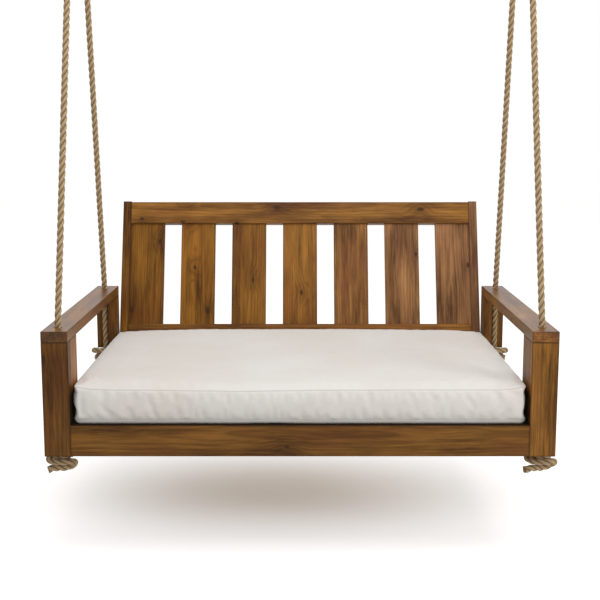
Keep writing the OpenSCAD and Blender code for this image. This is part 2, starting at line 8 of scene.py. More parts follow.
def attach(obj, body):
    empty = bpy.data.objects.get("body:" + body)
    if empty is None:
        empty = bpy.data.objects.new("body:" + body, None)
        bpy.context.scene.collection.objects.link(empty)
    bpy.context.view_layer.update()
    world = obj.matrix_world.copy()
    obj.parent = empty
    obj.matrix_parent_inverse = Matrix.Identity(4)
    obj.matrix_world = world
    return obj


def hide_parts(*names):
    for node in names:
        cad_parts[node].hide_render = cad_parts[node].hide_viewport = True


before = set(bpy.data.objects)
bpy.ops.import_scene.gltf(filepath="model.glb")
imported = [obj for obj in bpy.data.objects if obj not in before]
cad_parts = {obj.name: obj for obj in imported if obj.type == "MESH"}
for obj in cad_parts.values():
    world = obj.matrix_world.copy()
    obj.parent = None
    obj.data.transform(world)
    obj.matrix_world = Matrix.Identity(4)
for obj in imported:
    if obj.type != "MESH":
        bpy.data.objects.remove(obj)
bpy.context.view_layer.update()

bl_info = {
    "name": "Hanging Swing Bed",
    "version": (1, 0, 0),
    "blender": (4, 5, 0),
    "location": "View3D > Sidebar > Swing Bed",
    "description": "Dresses the swing bed's frame with ropes, stained boards and a linen cushion",
    "category": "Object",
}

# ---- Measures that repeat the part's source ----
# In metres, from the middle of the bed's front, at the height of the legs' feet.

HANG_Y = 0.650
CEILING = 2.500
ROPE_X = 0.822
BEND_Z = 0.442
BEND_RADIUS = 0.080
RING_Z = 2.3494
RING_RADIUS = 0.045
EYE_LIFT = 0.0001
EYE_RADIUS = 0.028
EYE_LENGTH = 0.090
SPLICE_START = 0.070
SPLICE_END = 0.200
BACK_LEAN = math.radians(19.67)
CUSHION_FLOOR = 0.1073
CUSHION_FRONT = 0.020
CUSHION_BACK = 0.988
GAP_SIDE = 0.776

# Each hanging point: its side, the rope's distance from the front, its foot and its eye's offset.
HANGERS = {
    "front_left": (-1, 0.080, 0.0, -0.0205),
    "front_right": (1, 0.080, 0.0, -0.0205),
    "rear_left": (-1, 0.997, 0.1685, 0.0175),
    "rear_right": (1, 0.997, 0.1685, 0.0175),
}
KNOT_RISE = 0.017

# Stopper knots from the rope's foot to the cut end, in millimetres from the leg's underside.
FRONT_KNOT = (
    (0, 0, 17), (0, 0, 7), (1, 2, -4), (-3, 11, -11), (-14, 20, -13), (-27, 9, -13.5),
    (-25, -12, -15), (-9, -26, -16), (13, -26, -16), (28, -8, -16), (26, 12, -17), (10, 28, -22),
    (-14, 37, -27), (-36, 26, -30), (-44, 4, -30), (-40, -18, -30), (-23, -35, -31), (0, -40, -31),
    (22, -38, -31), (39, -27, -33), (45, -12, -40), (40, 2, -51), (24, 2, -60), (6, -8, -61),
    (-10, -21, -57.5), (-26, -33, -55), (-41, -40, -58),
)
REAR_KNOT = (
    (0, 0, 17), (0, 0, 4), (0, 0, -10), (2, 2, -22), (10, 8, -32), (22, 4, -37), (24, -10, -38),
    (10, -24, -38), (-10, -26, -38), (-28, -18, -37), (-40, 0, -33), (-34, 20, -29), (-14, 34, -24),
    (12, 34, -18), (30, 18, -14), (34, -8, -12), (26, -32, -9), (4, -43, 2), (-22, -41, 4),
    (-43, -23, 1), (-49, 3, -4), (-38, 26, -11.5), (-16, 40, -16), (8, 46, -25), (24, 50, -36),
)


def placed(x, y, z):
    """A point of the bed in the frame's own axes."""
    return Vector((x, y - HANG_Y, z - CEILING))


# ---- Settings a user would change ----


def length_setting(name, description, default, low, high):
    """A length in metres, between its limits."""
    return bpy.props.FloatProperty(
        name=name, description=description, default=default, min=low, max=high, unit="LENGTH"
    )


def colour_setting(name, description, default):
    return bpy.props.FloatVectorProperty(
        name=name, description=description, default=default, subtype="COLOR"
    )


class SwingBedSizes(bpy.types.PropertyGroup):
    """Sizes of the soft parts."""

    rope_diameter: length_setting(
        "Rope diameter", "Outside diameter of the laid rope", 0.024, 0.020, 0.026
    )
    rope_lay: length_setting(
        "Rope lay", "Length in which a strand goes once round the rope", 0.084, 0.05, 0.12
    )
    cushion_width: length_setting(
        "Cushion width", "Width of the cushion at its seams", 1.524, 1.45, 1.53
    )
    border_height: length_setting(
        "Border height", "Height of the cushion's border at the middle of a side", 0.120, 0.09, 0.15
    )
    crown_height: length_setting(
        "Crown height", "Rise of the cushion's top above its seam", 0.014, 0.0, 0.03
    )
    cloth_cell: length_setting(
        "Cloth cell", "Side of one square of the simulated cover", 0.012, 0.008, 0.03
    )


class SwingBedColours(bpy.types.PropertyGroup):
    """Colours of the finishes."""

    stain_dark: colour_setting(
        "Dark stain", "Colour of the stain in the dark streaks", (0.062, 0.019, 0.0018)
    )
    stain_light: colour_setting(
        "Light stain", "Colour of the stain in the light streaks", (0.385, 0.163, 0.0190)
    )
    knot_brown: colour_setting(
        "Knot brown", "Colour of the knots in the boards", (0.040, 0.014, 0.005)
    )
    rope_light: colour_setting(
        "Rope light", "Colour of the rope on its strands", (0.625, 0.445, 0.250)
    )
    # Painted shade: the darker colour given to the grooves between the rope's strands and to its
    # yarns' hollows.
    rope_shade: colour_setting(
        "Rope dark", "Colour of the rope between its strands", (0.140, 0.085, 0.040)
    )
    linen: colour_setting("Linen", "Colour of the cushion's cover", (0.785, 0.755, 0.718))
    zinc: colour_setting("Zinc", "Colour of the plated fittings", (0.560, 0.570, 0.580))


# ---- Short ways to build node trees ----


def add_node(tree, kind, **settings):
    made = tree.nodes.new(kind)
    for name, value in settings.items():
        setattr(made, name, value)
    return made


def feed(socket, value):
    """Joins a socket to another one of its tree, or sets its own value."""
    if isinstance(value, bpy.types.NodeSocket):
        socket.id_data.links.new(value, socket)
    elif value is not None:
        socket.default_value = value


def fill(made, **values):
    """Feeds a node's sockets by their labels, written with _ for each space."""
    for label, value in values.items():
        feed(made.inputs[label.replace("_", " ")], value)


def maths(tree, operation, a, b=None, c=None, clamp=False):
    made = add_node(tree, "ShaderNodeMath", operation=operation, use_clamp=clamp)
    for socket, value in zip(made.inputs, (a, b, c)):
        feed(socket, value)
    return made.outputs[0]


def vector_maths(tree, operation, a, b=None):
    made = add_node(tree, "ShaderNodeVectorMath", operation=operation)
    feed(made.inputs[0], a)
    feed(made.inputs[1], b)
    return made.outputs["Value" if operation in ("LENGTH", "DOT_PRODUCT") else "Vector"]


def split(tree, vector):
    """The three components of a vector."""
    made = add_node(tree, "ShaderNodeSeparateXYZ")
    feed(made.inputs[0], vector)
    return made.outputs


def smooth_step(tree, value, low, high):
    """Rises from 0 at the low value to 1 at the high one."""
    made = add_node(tree, "ShaderNodeMapRange", interpolation_type="SMOOTHSTEP")
    fill(made, Value=value, From_Min=low, From_Max=high)
    return made.outputs["Result"]


def smooth_fall(tree, value, low, high):
    """Falls from 1 at the low value to 0 at the high one."""
    return maths(tree, "SUBTRACT", 1.0, smooth_step(tree, value, low, high))


def mixed(tree, factor, a, b, blend="MIX"):
    made = add_node(tree, "ShaderNodeMix", data_type="RGBA", blend_type=blend)
    fill(made, Factor=factor, A=a, B=b)
    return made.outputs["Result"]


def covered(tree, colour, mask, share, other):
    """The colour, with a share of the other one where the mask lies."""
    return mixed(tree, maths(tree, "MULTIPLY", mask, share), colour, other)


def shaded(colour, factor):
    """A darker shade of a colour, with its alpha."""
    return [c * factor for c in colour[:3]] + [1.0]


def noise_at(tree, vector, scale, detail, seed=0.0, roughness=0.55):
    made = add_node(tree, "ShaderNodeTexNoise", noise_dimensions="4D")
    fill(made, Vector=vector, W=seed, Scale=scale, Detail=detail, Roughness=roughness)
    return made.outputs["Fac"]


def stretched_noise(tree, vector, stretch, detail, seed=0.0, roughness=0.55):
    """Noise with its own scale along each axis."""
    scaled = vector_maths(tree, "MULTIPLY", vector, stretch)
    return noise_at(tree, scaled, 1.0, detail, seed, roughness)


def wandering(tree, vector, scale, reach):
    """A small push this way and that."""
    made = add_node(tree, "ShaderNodeTexNoise")
    fill(made, Vector=vector, Scale=scale)
    return vector_maths(tree, "MULTIPLY", made.outputs["Color"], (reach,) * 3)


def new_group(name, inputs, outputs):
    """A node group and its two end nodes. Inputs are vectors unless their default is a number."""
    tree = bpy.data.node_groups.new(name, "ShaderNodeTree")
    for label, default in inputs:
        kind = "NodeSocketFloat" if isinstance(default, float) else "NodeSocketVector"
        socket = tree.interface.new_socket(label, in_out="INPUT", socket_type=kind)
        if default is not None:
            socket.default_value = default
    for label in outputs:
        tree.interface.new_socket(label, in_out="OUTPUT", socket_type="NodeSocketFloat")
    return tree, tree.nodes.new("NodeGroupInput"), tree.nodes.new("NodeGroupOutput")


def use_group(tree, name, **inputs):
    """Puts a node group in a tree. Each group is built the first time that it is used."""
    made = add_node(tree, "ShaderNodeGroup")
    made.node_tree = bpy.data.node_groups.get(name) or GROUPS[name](name)
    fill(made, **inputs)
    return made.outputs


def new_material(name, viewport):
    """A material, its tree, its shader and the sockets of its coordinates."""
    made = bpy.data.materials.new(name)
    made.use_nodes = True
    made.diffuse_color = (*viewport, 1.0)
    tree = made.node_tree
    place = add_node(tree, "ShaderNodeTexCoord").outputs
    return made, tree, tree.nodes["Principled BSDF"], place


def bumped(tree, height, strength, distance):
    made = add_node(tree, "ShaderNodeBump")
    fill(made, Height=height, Strength=strength, Distance=distance)
    return made.outputs["Normal"]


def seen_straight(tree):
    """1 for what the camera sees itself, through glass or in a reflection."""
    rays = add_node(tree, "ShaderNodeLightPath").outputs
    straight = maths(tree, "MAXIMUM", rays["Is Camera Ray"], rays["Is Transmission Ray"])
    return maths(tree, "MAXIMUM", straight, rays["Is Glossy Ray"])


def finish_with(piece, material):
    """Gives an object one material in place of its own."""
    piece.data.materials.clear()
    piece.data.materials.append(material)


# ---- Effects that several finishes share ----


def grain_group(name):
    """Figure, streaks, pores and knots of a board whose grain runs along X."""
    tree, given, result = new_group(
        name,
        [
            ("Vector", None),
            ("Seed", 0.0),
            ("Pith", (0.0, 0.06, 0.05)),
            ("Broad", (0.0, 1.0, 0.0)),
            ("Knot Share", 0.3),
        ],
        ["Figure", "Streaks", "Clouds", "Pores", "Flecks", "Patches", "Knots", "Swirl"],
    )
    here, seed = given.outputs["Vector"], given.outputs["Seed"]

    # Knots go right through a board, so they are laid out along and across it only.
    cells = add_node(tree, "ShaderNodeTexVoronoi", voronoi_dimensions="2D")
    broad = vector_maths(tree, "DOT_PRODUCT", here, given.outputs["Broad"])
    flat = add_node(tree, "ShaderNodeCombineXYZ")
    feed(flat.inputs[0], maths(tree, "MULTIPLY_ADD", split(tree, here)[0], 5.0, seed))
    feed(flat.inputs[1], maths(tree, "MULTIPLY_ADD", broad, 9.0, seed))
    place = vector_maths(tree, "ADD", flat.outputs[0], wandering(tree, here, 70.0, 0.05))
    fill(cells, Vector=place, Scale=1.0, Randomness=0.9)
    pick = add_node(tree, "ShaderNodeSeparateColor")
    feed(pick.inputs[0], cells.outputs["Color"])
    chosen = maths(tree, "LESS_THAN", pick.outputs[0], given.outputs["Knot Share"])
    size = maths(tree, "MULTIPLY_ADD", pick.outputs[1], 0.055, 0.045)
    distance = cells.outputs["Distance"]
    core = smooth_fall(tree, maths(tree, "DIVIDE", distance, size), 0.55, 1.15)
    knots = maths(tree, "MULTIPLY", core, chosen)
    swirl = maths(tree, "MULTIPLY", smooth_fall(tree, distance, 0.02, 0.42), chosen)

    from_pith = vector_maths(tree, "ADD", here, given.outputs["Pith"])
    taper = (0.035, 1.0, 1.0)
    across = vector_maths(tree, "LENGTH", vector_maths(tree, "MULTIPLY", from_pith, taper))
    drift = stretched_noise(tree, here, (1.6, 9.0, 9.0), 2.0, seed)
    phase = maths(tree, "MULTIPLY_ADD", across, 120.0, maths(tree, "MULTIPLY", drift, 3.2))
    phase = maths(tree, "MULTIPLY_ADD", swirl, 1.7, phase)
    part = maths(tree, "FRACT", phase)
    rise = smooth_step(tree, part, 0.25, 0.88)
    drop = smooth_step(tree, part, 0.9, 1.0)
    figure = maths(tree, "SUBTRACT", rise, drop, clamp=True)

    fill(
        result,
        Figure=figure,
        Streaks=stretched_noise(tree, here, (1.8, 34.0, 34.0), 4.0, seed, 0.6),
        Flecks=stretched_noise(tree, here, (12.0, 170.0, 170.0), 3.0, seed, 0.6),
        Clouds=stretched_noise(tree, here, (2.8, 11.0, 11.0), 3.0, seed, 0.5),
        Patches=stretched_noise(tree, here, (2.6, 8.0, 8.0), 2.0, maths(tree, "ADD", seed, 5.0)),
        Pores=stretched_noise(tree, here, (16.0, 420.0, 420.0), 2.0, seed, 0.6),
        Knots=knots,
        Swirl=swirl,
    )
    return tree


def edge_group(name):
    """Mask of a board's edges, from its centred coordinates and half sizes."""
    tree, given, result = new_group(
        name, [("Vector", None), ("Half Size", (0.5, 0.05, 0.02)), ("Width", 0.005)], ["Edges"]
    )
    size = vector_maths(tree, "ABSOLUTE", given.outputs["Vector"])
    apart = split(tree, vector_maths(tree, "SUBTRACT", given.outputs["Half Size"], size))
    near = [smooth_fall(tree, side, 0.0, given.outputs["Width"]) for side in apart]
    pairs = [maths(tree, "MULTIPLY", near[i], near[(i + 1) % 3]) for i in range(3)]
    edges = maths(tree, "MAXIMUM", maths(tree, "MAXIMUM", pairs[0], pairs[1]), pairs[2])
    feed(result.inputs["Edges"], edges)
    return tree


def gap_group(name):
    """Mask of the narrow gap round the cushion, where the boards are painted near black as shade.
    """
    tree, given, result = new_group(name, [("Vector", None)], ["Shade"])
    across, depth, height = split(tree, given.outputs["Vector"])
    side = maths(tree, "ABSOLUTE", across)
    low, front = CUSHION_FLOOR - CEILING, -HANG_Y
    masks = (
        smooth_step(tree, height, low - 0.040, low - 0.028),
        smooth_fall(tree, height, low + 0.092, low + 0.130),
        smooth_step(tree, depth, front + 0.0005, front + 0.0060),
        maths(
            tree,
            "MAXIMUM",
            smooth_step(tree, side, GAP_SIDE - 0.031, GAP_SIDE - 0.014),
            smooth_fall(tree, depth, front + 0.030, front + 0.045),
        ),
    )
    shade = smooth_fall(tree, side, GAP_SIDE - 0.0008, GAP_SIDE)
    for mask in masks:
        shade = maths(tree, "MULTIPLY", shade, mask)
    fill(result, Shade=shade)
    return tree


def weave_group(name):
    """Plain weave: the height of the threads, their slubs and a slow change of tone."""
    tree, given, result = new_group(
        name, [("Vector", None), ("Threads", 700.0)], ["Height", "Slubs", "Tone"]
    )
    here = given.outputs["Vector"]
    moved = vector_maths(tree, "ADD", here, wandering(tree, here, 60.0, 0.001))
    waves = []
    for part in split(tree, moved):
        wave = maths(tree, "SINE", maths(tree, "MULTIPLY", part, given.outputs["Threads"]))
        waves.append(maths(tree, "ABSOLUTE", wave))
    total = maths(tree, "ADD", maths(tree, "ADD", waves[0], waves[1]), waves[2])
    slubs = stretched_noise(tree, here, (18.0, 260.0, 260.0), 2.0)
    cross = stretched_noise(tree, here, (260.0, 18.0, 60.0), 2.0, 3.0)
    fill(
        result,
        Height=maths(tree, "MULTIPLY", total, 0.333),
        Slubs=maths(tree, "MULTIPLY", maths(tree, "ADD", slubs, cross), 0.5),
        Tone=noise_at(tree, here, 3.0, 3.0, 1.0),
    )
    return tree


GROUPS = {
    "pine_grain": grain_group,
    "board_edges": edge_group,
    "cushion_gap_shade": gap_group,
    "plain_weave": weave_group,
}

# ---- Finishes ----

GRAIN_TURNS = {
    "X": (0.0, 0.0, 0.0),
    "Y": (0.0, 0.0, -math.pi / 2),
    "Z": (0.0, math.pi / 2, 0.0),
    "leaned_up": (BACK_LEAN, math.pi / 2, 0.0),
    "leaned_across": (BACK_LEAN, 0.0, 0.0),
}

# How dark a board's end grain is beside its faces.
END_TONES = {"left_armrest": 0.58, "right_armrest": 1.08}


def grain_frame(board, direction):
    """Middle and half size of a board in axes whose X runs along its grain."""
    turn = Euler(GRAIN_TURNS[direction], "XYZ").to_matrix()
    turned = [turn @ v.co for v in board.data.vertices]
    low = Vector([min(p[i] for p in turned) for i in range(3)])
    high = Vector([max(p[i] for p in turned) for i in range(3)])
    return (low + high) / 2, (high - low) / 2


def stained_board(board, direction, seed, tone, cool_cast_and_sheen, colours, knots, gloss):
    """Gives a board its own stained pine, cut from its own place in the tree."""
    middle, half = grain_frame(board, direction)
    made, tree, shader, place = new_material("stained_" + board.name, colours.stain_light)
    mapping = add_node(tree, "ShaderNodeMapping", vector_type="POINT")
    fill(mapping, Vector=place["Object"], Rotation=GRAIN_TURNS[direction], Location=-middle)
    here = mapping.outputs["Vector"]
    # The pith lies off the board's broad face, further off where the grain runs to the back.
    thin = 1 if half.y < half.z else 2
    broad = [0.0, 1.0, 1.0]
    broad[thin] = 0.0
    pith = [0.0, 0.0, 0.0]
    pith[thin] = 0.055 + 0.02 * math.sin(seed * 2.1) + (0.22 if direction == "Y" else 0.0)
    pith[3 - thin] = 0.035 * math.sin(seed * 1.7 + 0.6)
    grain = use_group(
        tree, "pine_grain", Vector=here, Seed=seed * 3.17, Pith=pith, Broad=broad, Knot_Share=knots
    )
    edges = use_group(tree, "board_edges", Vector=here, Half_Size=half, Width=0.006)["Edges"]
    # A small cool cast is the stain's own tint; a strong one is a painted sheen of reflected light.
    cast = (tone, tone * (1 + 0.14 * cool_cast_and_sheen), tone * (1 + 2.2 * cool_cast_and_sheen))
    dark = [c * k for c, k in zip(colours.stain_dark, cast)] + [1.0]
    light = [c * k for c, k in zip(colours.stain_light, cast)] + [1.0]
    blend = 0.0
    for effect, low, high, share in (
        ("Streaks", 0.38, 0.62, 0.40),
        ("Clouds", 0.36, 0.64, 0.34),
        ("Flecks", 0.36, 0.64, 0.26),
    ):
        part = smooth_step(tree, grain[effect], low, high)
        blend = maths(tree, "MULTIPLY_ADD", part, share, blend)
    colour = mixed(tree, blend, dark, light)
    red = [light[0] * 0.66, light[1] * 0.50, light[2] * 0.72, 1.0]
    fine = smooth_step(tree, grain["Pores"], 0.62, 0.78)
    for mask, share, other in (
        (smooth_step(tree, grain["Patches"], 0.45, 0.70), 0.40, red),
        (grain["Figure"], 0.28, shaded(dark, 0.55)),
        (grain["Swirl"], 0.35, dark),
        (fine, 0.35, shaded(dark, 0.5)),
        (grain["Knots"], 0.85, [*colours.knot_brown, 1.0]),
        (edges, 0.45, shaded(dark, 0.45)),
    ):
        colour = covered(tree, colour, mask, share, other)
    along = maths(tree, "ABSOLUTE", split(tree, here)[0])
    ends = maths(tree, "GREATER_THAN", along, half.x - 0.0005)
    end = END_TONES.get(board.name, 0.75)
    end_grain = mixed(tree, 1.0, colour, (end, end * 0.88, end * 0.55, 1.0), "MULTIPLY")
    colour = mixed(tree, ends, colour, end_grain)
    # Painted shade: the boards turn near black in the narrow gap round the cushion, where they are
    # also rougher and less glossy.
    gap_shade = use_group(tree, "cushion_gap_shade", Vector=place["Object"])["Shade"]
    colour = covered(tree, colour, gap_shade, 0.9, (0.006, 0.003, 0.001, 1.0))
    worn = maths(tree, "MULTIPLY_ADD", grain["Clouds"], 0.16, 0.30)
    figured = maths(tree, "MULTIPLY", grain["Figure"], -0.4)
    depth = maths(tree, "ADD", figured, maths(tree, "MULTIPLY", fine, -0.6))
    fill(
        shader,
        Base_Color=colour,
        Roughness=maths(tree, "MULTIPLY_ADD", gap_shade, 0.6, worn),
        Specular_IOR_Level=0.28 * gloss,
        Coat_Weight=maths(tree, "MULTIPLY_ADD", gap_shade, -0.06 * gloss, 0.06 * gloss),
        Coat_Roughness=0.25,
        Normal=bumped(tree, depth, 0.25, 0.0006),
    )
    finish_with(board, made)


def plain_dowel_wood():
    """Pale beech of the dowels."""
    made, tree, shader, place = new_material("beech_dowels", (0.62, 0.46, 0.28))
    grain = use_group(tree, "pine_grain", Vector=place["Object"], Seed=4.0, Knot_Share=0.0)
    colour = mixed(tree, grain["Pores"], (0.62, 0.45, 0.27, 1.0), (0.50, 0.34, 0.19, 1.0))
    fill(shader, Base_Color=colour, Roughness=0.62)
    return made


def rope_fibre(colours):
    """Twisted natural fibre, on UVs that follow the strands."""
    made, tree, shader, place = new_material("laid_rope_fibre", colours.rope_light)
    along, round_, _ = split(tree, place["UV"])
    lean = maths(tree, "ADD", along, round_)
    wave = maths(tree, "SINE", maths(tree, "MULTIPLY", lean, 24 * math.tau))
    yarns = maths(tree, "MULTIPLY_ADD", wave, 0.5, 0.5)
    stretched = add_node(tree, "ShaderNodeCombineXYZ")
    feed(stretched.inputs[0], maths(tree, "MULTIPLY", along, 5.0))
    feed(stretched.inputs[1], maths(tree, "MULTIPLY", lean, 90.0))
    fibres = noise_at(tree, stretched.outputs[0], 1.0, 4.0, 2.0, 0.65)
    blotches = noise_at(tree, place["Object"], 26.0, 3.0, 5.0)
    groove = add_node(tree, "ShaderNodeAttribute", attribute_name="groove").outputs["Fac"]
    light, dark = [*colours.rope_light, 1.0], [*colours.rope_shade, 1.0]
    colour = mixed(tree, smooth_step(tree, fibres, 0.3, 0.75), shaded(light, 0.72), light)
    sunned = smooth_step(tree, blotches, 0.45, 0.75)
    colour = covered(tree, colour, sunned, 0.3, (0.66, 0.52, 0.34, 1.0))
    # Painted shade: the yarns' hollows and the grooves between strands are darkened.
    colour = covered(tree, colour, yarns, 0.22, dark)
    colour = mixed(tree, maths(tree, "POWER", groove, 1.6), colour, dark)
    twisted = maths(tree, "MULTIPLY", yarns, -0.7)
    height = maths(tree, "ADD", twisted, maths(tree, "MULTIPLY", fibres, 0.6))
    fill(
        shader,
        Base_Color=colour,
        Roughness=0.88,
        Specular_IOR_Level=0.10,
        Sheen_Weight=0.08,
        Normal=bumped(tree, height, 0.6, 0.0012),
    )
    return made


def zinc_plate(name, colours, rough):
    """Zinc plating with faint spangle and dull wear."""
    made, tree, shader, place = new_material(name, colours.zinc)
    spangle = add_node(tree, "ShaderNodeTexVoronoi")
    fill(spangle, Vector=place["Object"], Scale=160.0)
    pick = add_node(tree, "ShaderNodeSeparateColor")
    feed(pick.inputs[0], spangle.outputs["Color"])
    dull = noise_at(tree, place["Object"], 45.0, 4.0, 3.0)
    tone = maths(tree, "MULTIPLY_ADD", pick.outputs[0], 0.35, maths(tree, "MULTIPLY", dull, 0.5))
    fill(
        shader,
        Base_Color=mixed(tree, tone, shaded(colours.zinc, 0.72), [*colours.zinc, 1.0]),
        Metallic=1.0,
        Roughness=maths(tree, "MULTIPLY_ADD", dull, 0.25, rough),
        Normal=bumped(tree, dull, 0.15, 0.0004),
    )
    return made


def linen_cloth(colours):
    """Off-white linen in plain weave with slubs."""
    made, tree, shader, place = new_material("linen_cover", colours.linen)
    weave = use_group(tree, "plain_weave", Vector=place["Object"], Threads=1900.0)
    base = [*colours.linen, 1.0]
    warm = [base[0] * 0.955, base[1] * 0.93, base[2] * 0.90, 1.0]
    colour = mixed(tree, smooth_step(tree, weave["Tone"], 0.3, 0.7), base, warm)
    slubs = smooth_step(tree, weave["Slubs"], 0.56, 0.72)
    # Painted shade: the hollows between threads are darkened.
    low = maths(tree, "SUBTRACT", 1.0, weave["Height"])
    # Painted shade: the seams' grooves are darkened through the seam attribute.
    seam = add_node(tree, "ShaderNodeAttribute", attribute_name="seam").outputs["Fac"]
    for mask, share, shade in ((slubs, 0.22, 0.86), (low, 0.16, 0.7), (seam, 0.55, 0.45)):
        colour = covered(tree, colour, mask, share, shaded(base, shade))
    height = maths(tree, "ADD", weave["Height"], maths(tree, "MULTIPLY", weave["Slubs"], 0.8))
    fill(
        shader,
        Base_Color=colour,
        Roughness=0.92,
        Specular_IOR_Level=0.2,
        Sheen_Weight=0.15,
        Normal=bumped(tree, height, 0.35, 0.0005),
    )
    return made


# ---- Stranded tubes ----

# Length of rope to one unit of its UV map, and how its cut end opens.
UV_LENGTH = 0.084
CUT_FLARE = 0.14
CUT_FLARE_LENGTH = 0.028
# How far a strand lies from the rope's middle, and its radius, for a rope 1 thick.
STRAND_REACH = 0.222
STRAND_RADIUS = 0.278
# Sides of a rope's outline, and its rings' spacing in close bends.
ROPE_SIDES = 30
CLOSE_RINGS = 0.0042
# An eye's ends in its splice, down and aside, and the steps along its legs.
EYE_ENDS = ((0.118, 0.0), (0.104, 0.001))
EYE_STEPS = (0.12, 0.35, 0.6, 0.85)
# The splice's radius, taper, blunt start and tucked strands.
SPLICE_RADIUS = 0.0152
TAPER_START = 0.45
BLUNT_START = 0.06
TUCK_DEPTH = 0.0016
TUCK_LENGTH = 0.030


def even_points(points, spacing):
    """A smooth line through the points, cut into even steps."""
    fine = []
    for i in range(len(points) - 1):
        a = points[max(i - 1, 0)]
        b, c = points[i], points[i + 1]
        d = points[min(i + 2, len(points) - 1)]
        bend, twist = 2 * a - 5 * b + 4 * c - d, 3 * b - a - 3 * c + d
        count = max(2, math.ceil((c - b).length / spacing * 3))
        for k in range(count):
            t = k / count
            fine.append(0.5 * (2 * b + (c - a) * t + bend * t * t + twist * t**3))
    fine.append(points[-1])
    total = sum((q - p).length for p, q in zip(fine, fine[1:]))
    steps = max(2, round(total / spacing))
    cut, walked, wanted = [fine[0]], 0.0, total / steps
    for p, q in zip(fine, fine[1:]):
        length = (q - p).length
        while length > 0 and walked + length >= wanted * len(cut) and len(cut) < steps:
            cut.append(p.lerp(q, (wanted * len(cut) - walked) / length))
        walked += length
    cut.append(fine[-1])
    return cut, total


def wrapped_tube(
    name,
    points,
    turn_of,
    radius_of,
    spacing=0.005,
    sides=ROPE_SIDES,
    normal=Vector((1, 0, 0)),
    cut_end=False,
):
    """A grid wrapped round a line, and the line's length.

    turn_of gives a ring's turn, and radius_of a point's radius and how deep it lies.
    """
    line, total = even_points(points, spacing)
    rings = len(line)
    bm = bmesh.new()
    uv = bm.loops.layers.uv.new("UVMap")
    # How deep each point lies between strands; the fibre darkens it as painted shade.
    groove = bm.verts.layers.float.new("groove")
    bmesh.ops.create_grid(bm, x_segments=rings - 1, y_segments=sides, size=0.5)
    xs = sorted({round(v.co.x, 6) for v in bm.verts})
    ys = sorted({round(v.co.y, 6) for v in bm.verts})
    row = {x: i for i, x in enumerate(xs)}
    column = {y: j for j, y in enumerate(ys)}
    spots = {v: (row[round(v.co.x, 6)], column[round(v.co.y, 6)]) for v in bm.verts}
    for face in bm.faces:
        for loop in face.loops:
            i, j = spots[loop.vert]
            loop[uv].uv = (i * total / (rings - 1) / UV_LENGTH, j / sides)
    frames = []
    n = normal.copy()
    for i, p in enumerate(line):
        along = (line[min(i + 1, rings - 1)] - line[max(i - 1, 0)]).normalized()
        n = (n - n.dot(along) * along).normalized()
        frames.append((p, n, along.cross(n)))
    for v, (i, j) in spots.items():
        p, n, m = frames[i]
        s = i * total / (rings - 1)
        angle = math.tau * j / sides
        radius, depth = radius_of(angle, s, total)
        if cut_end:
            # The strands open a little towards the cut.
            radius *= 1 + CUT_FLARE * max(0.0, 1 - (total - s) / CUT_FLARE_LENGTH)
        turn = angle + turn_of(s)
        v.co = p + radius * (math.cos(turn) * n + math.sin(turn) * m)
        v[groove] = depth
    bmesh.ops.remove_doubles(bm, verts=bm.verts[:], dist=1e-6)
    bmesh.ops.holes_fill(bm, edges=[e for e in bm.edges if e.is_boundary], sides=0)
    if cut_end:
        # The cut end is drawn in a little, as a cut strand closes on itself.
        caps = [f for f in bm.faces if len(f.verts) > 4]
        bmesh.ops.inset_region(bm, faces=caps, thickness=0.003, depth=0.0015, use_even_offset=True)
    bmesh.ops.recalc_face_normals(bm, faces=bm.faces[:])
    return finished(name, bm), total


def finished(name, bm, smooth=True):
    """Turns a bmesh into an object at the origin."""
    mesh = bpy.data.meshes.new(name)
    bm.to_mesh(mesh)
    bm.free()
    if smooth:
        mesh.shade_smooth()
    made = bpy.data.objects.new(name, mesh)
    bpy.context.scene.collection.objects.link(made)
    return made


def strand_radius(diameter):
    """Radius of the outline of three strands laid together, and how deep a point lies."""
    reach, strand = STRAND_REACH * diameter, STRAND_RADIUS * diameter
    shallow = reach * 0.5 + math.sqrt(strand**2 - 0.75 * reach**2)

    def radius_of(angle, s, total):
        lobe = (angle + math.pi / 3) % (math.tau / 3) - math.pi / 3
        r = reach * math.cos(lobe) + math.sqrt(strand**2 - (reach * math.sin(lobe)) ** 2)
        return r, 1 - (r - shallow) / (diameter / 2 - shallow)

    return radius_of


def laid_turn(lay):
    """How far a ring is turned, from its place along the rope."""
    return lambda s: math.tau * s / lay


# ---- Where the ropes run ----


def hanger_lines(name):
    """A rope's line from its knot to its eye, the eye's middle and the rope's direction there."""
    side, y, foot, offset = HANGERS[name]
    x = side * ROPE_X
    wire = Vector((x, HANG_Y + offset, RING_Z - math.sqrt(RING_RADIUS**2 - offset**2)))
    lean = math.atan2(wire.y - y, wire.z - BEND_Z)
    up = Vector((0, math.sin(lean), math.cos(lean)))
    corner = Vector((x, y, BEND_Z))
    cut = BEND_RADIUS * math.tan(abs(lean) / 2)
    start = corner - Vector((0, 0, cut))
    low = Vector((x, y, foot + KNOT_RISE))
    points = [low + (start - low) * k / 5 for k in range(6)]
    way = 1 if lean > 0 else -1
    for k in (1, 2, 3):
        a = abs(lean) * k / 4
        points.append(start + BEND_RADIUS * Vector((0, way * (1 - math.cos(a)), math.sin(a))))
    eye = wire + EYE_LIFT * up
    run_start, run_end = corner + cut * up, eye - EYE_LENGTH * up
    points += [run_start + (run_end - run_start) * k / 22 for k in range(23)]
    return [placed(*p) for p in points], placed(*eye), up


